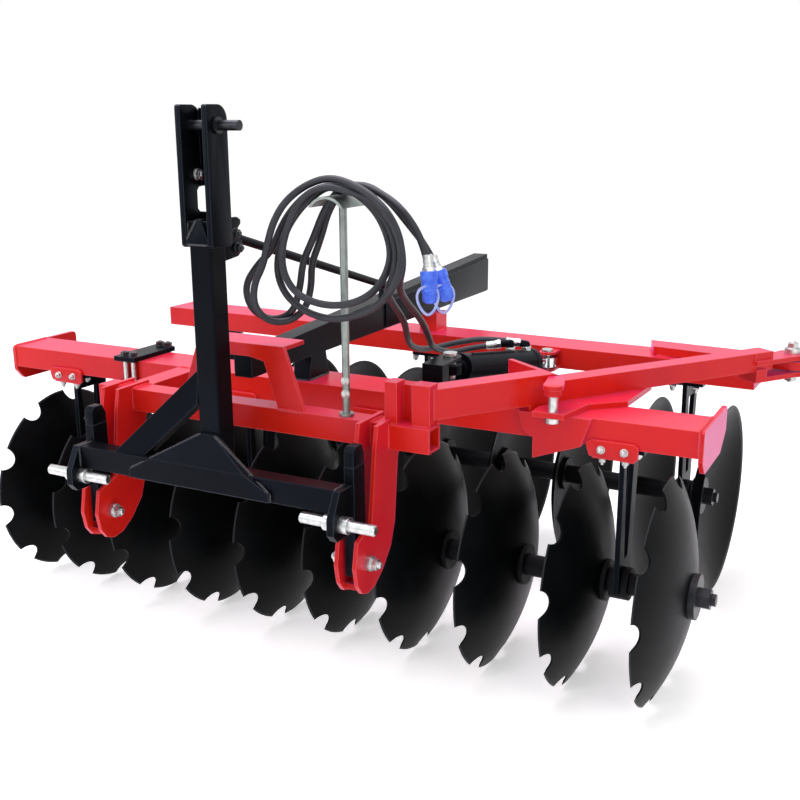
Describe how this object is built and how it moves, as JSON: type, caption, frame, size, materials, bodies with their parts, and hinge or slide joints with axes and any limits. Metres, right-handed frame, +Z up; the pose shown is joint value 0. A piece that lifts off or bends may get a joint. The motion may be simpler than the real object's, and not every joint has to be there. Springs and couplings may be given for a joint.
{
  "type": "disc harrow",
  "caption": "Mounted offset disc harrow with notched front discs, plain rear discs, a three-point headstock and a hydraulic cylinder that sets the rear gang's angle.",
  "frame": {"origin": "middle of the machine's length and width, on the ground the discs stand on", "axes": "+X towards the machine's left-hand side, along the front gang; +Y towards the rear; +Z up"},
  "size_m": [2.44, 1.86, 1.539],
  "materials": {
    "black_paint": "satin",
    "blue_plastic": "matte",
    "disc_paint": "satin",
    "hose_rubber": "matte",
    "red_paint": "gloss",
    "zinc": "satin"
  },
  "bodies": {
    "frame": {"apex_bracket": "red_paint", "apex_link": "red_paint", "apex_strut": "red_paint", "arch_bracket": "red_paint", "cross_tube": "red_paint", "cylinder_base_ball": "zinc", "cylinder_base_lug": "black_paint", "drop_arms": "red_paint", "frame_pins": "zinc", "front_beam": "red_paint", "front_beam_end_plates": "red_paint", "front_bearings": "black_paint", "front_hangers": "black_paint", "headstock_beam": "black_paint", "headstock_brace": "black_paint", "headstock_gusset": "black_paint", "headstock_uprights": "black_paint", "hose_a_lead": "hose_rubber", "hose_a_tail": "hose_rubber", "hose_b_lead": "hose_rubber", "hose_b_tail": "hose_rubber", "hose_caps": "blue_plastic", "hose_coil": "hose_rubber", "hose_stand": "zinc", "left_clamp": "black_paint", "long_beam": "black_paint", "lower_link_lugs": "black_paint", "lower_link_pins": "zinc", "mast": "black_paint", "spacer_tube": "red_paint", "strut_bracket": "red_paint", "tie_rod": "black_paint", "top_link_cheeks": "black_paint", "top_link_pin": "zinc"},
    "front_gang": {"front_discs": "disc_paint", "front_spools": "black_paint", "front_gang_bolt": "black_paint"},
    "rear_frame": {"beam_guide": "red_paint", "cylinder_rod_lug": "red_paint", "cylinder_rod_pin": "zinc", "rear_arm": "red_paint", "rear_beam": "red_paint", "rear_bearings": "black_paint", "rear_hangers": "black_paint"},
    "rear_gang": {"rear_discs": "disc_paint", "rear_spools": "black_paint", "rear_gang_bolt": "black_paint"},
    "cylinder_barrel": {"cylinder_barrel": "black_paint", "hose_a": "hose_rubber", "hose_b": "hose_rubber"},
    "cylinder_rod": {"cylinder_rod": "black_paint"}
  },
  "joints": [
    {"name": "front_gang_turn", "type": "hinge", "parent": "frame", "child": "front_gang", "pos_m": [0, -0.356, 0.305], "axis": [1, 0, 0], "continuous": true},
    {"name": "rear_frame_swing", "type": "hinge", "parent": "frame", "child": "rear_frame", "pos_m": [1.175, 0.379, 0.78], "axis": [0, 0, -1], "range_deg": [0, 20]},
    {"name": "rear_gang_turn", "type": "hinge", "parent": "rear_frame", "child": "rear_gang", "pos_m": [-0.02347, 0.44668, 0.305], "axis": [0.9995, -0.0314, 0], "continuous": true},
    {"name": "cylinder_swivel", "type": "hinge", "parent": "frame", "child": "cylinder_barrel", "pos_m": [0.315, -0.216, 0.802], "axis": [0.6682, -0.0446, 0.7426], "range_deg": [0, 4.1]},
    {"name": "cylinder_stroke", "type": "slide", "parent": "cylinder_barrel", "child": "cylinder_rod", "axis": [0.2031, 0.9693, -0.1385], "range_m": [0, 0.25722]}
  ],
  "couplings": [
    {"joint": "cylinder_swivel", "follows": "rear_frame_swing", "ratio": 0.20476},
    {"joint": "cylinder_stroke", "follows": "rear_frame_swing", "m_per_rad": 0.73689}
  ]
}
